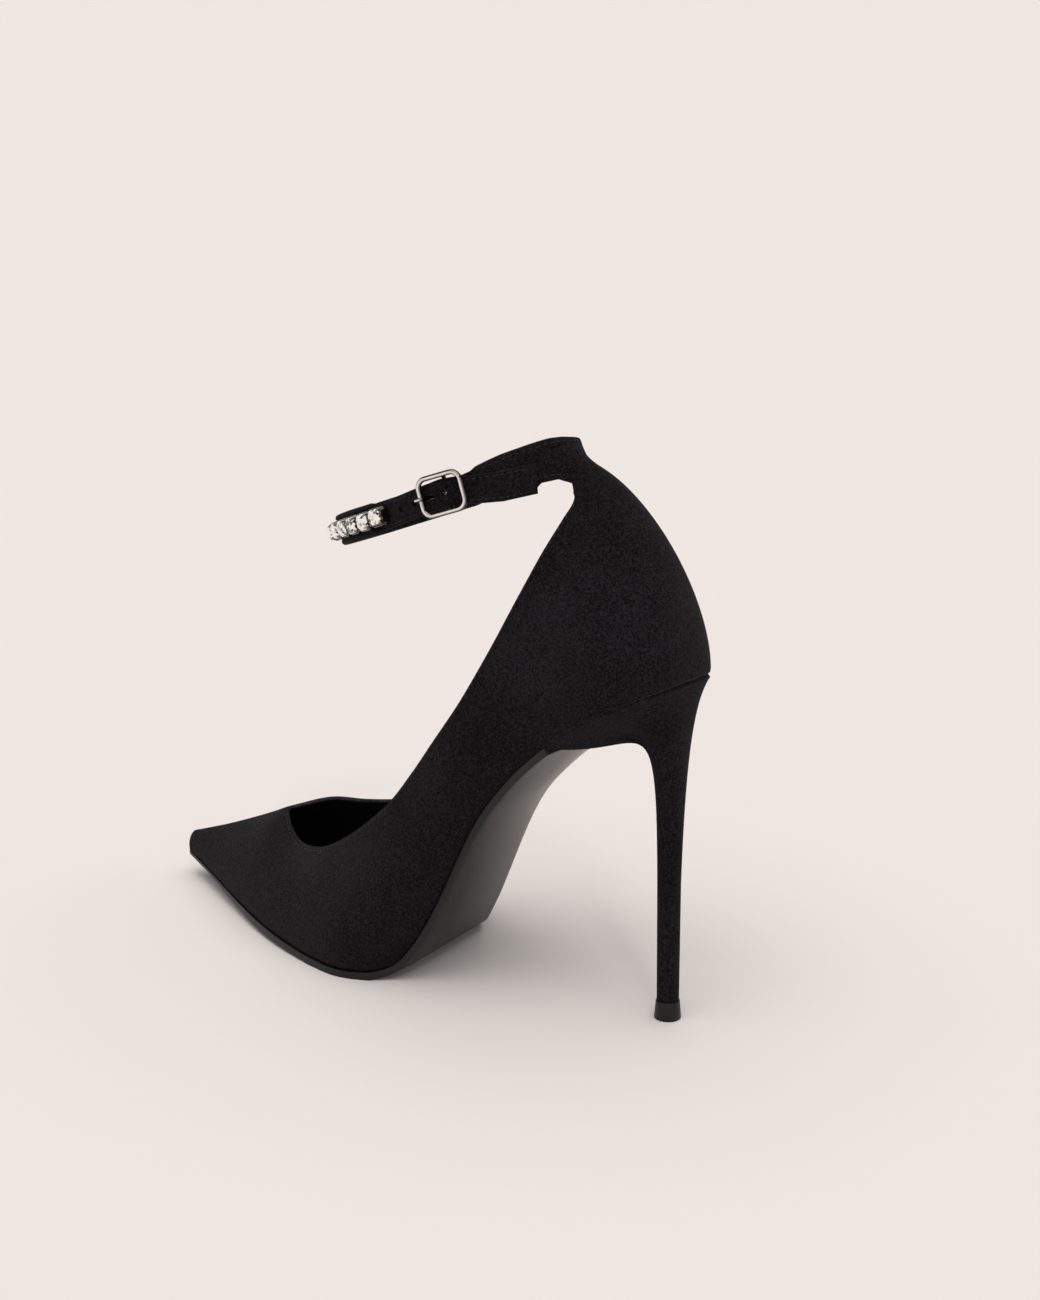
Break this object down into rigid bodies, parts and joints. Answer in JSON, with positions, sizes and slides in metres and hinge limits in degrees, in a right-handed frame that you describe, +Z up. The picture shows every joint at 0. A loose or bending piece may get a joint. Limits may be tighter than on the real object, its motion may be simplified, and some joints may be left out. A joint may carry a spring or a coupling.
{
  "type": "ankle strap pump",
  "caption": "Pointed stiletto pump for the left foot in suede, with a buckled ankle strap that carries a row of crystals in cups.",
  "frame": {"origin": "middle of the heel cap on the floor", "axes": "+X to the toe, +Y to the outer side of the left foot, +Z up"},
  "size_m": [0.2291, 0.0793, 0.1859],
  "materials": {
    "suede": "black suede with a short soft nap",
    "sole": "dark slate grey, satin",
    "lining": "black smooth lining leather, low sheen",
    "heel_suede": "black suede wrapped round the heel",
    "cap": "slate grey, satin",
    "strap_suede": "black suede, punched holes, edge stitch",
    "buckle": "polished dark silver",
    "prong": "polished silver",
    "cups": "polished silver",
    "crystal": "clear faceted crystal, foiled behind"
  },
  "bodies": {
    "root": {"upper": "suede", "outsole": "sole", "insole": "lining", "heel": "heel_suede", "heel_cap": "cap", "ankle_strap": "strap_suede", "buckle_frame": "buckle", "buckle_prong": "prong", "cup_chain": "cups", "stone_01": "crystal", "stone_02": "crystal", "stone_03": "crystal", "stone_04": "crystal", "stone_05": "crystal", "stone_06": "crystal", "stone_07": "crystal", "stone_08": "crystal", "stone_09": "crystal", "stone_10": "crystal", "stone_11": "crystal", "stone_12": "crystal", "stone_13": "crystal", "stone_14": "crystal", "stone_15": "crystal", "stone_16": "crystal"}
  },
  "joints": []
}
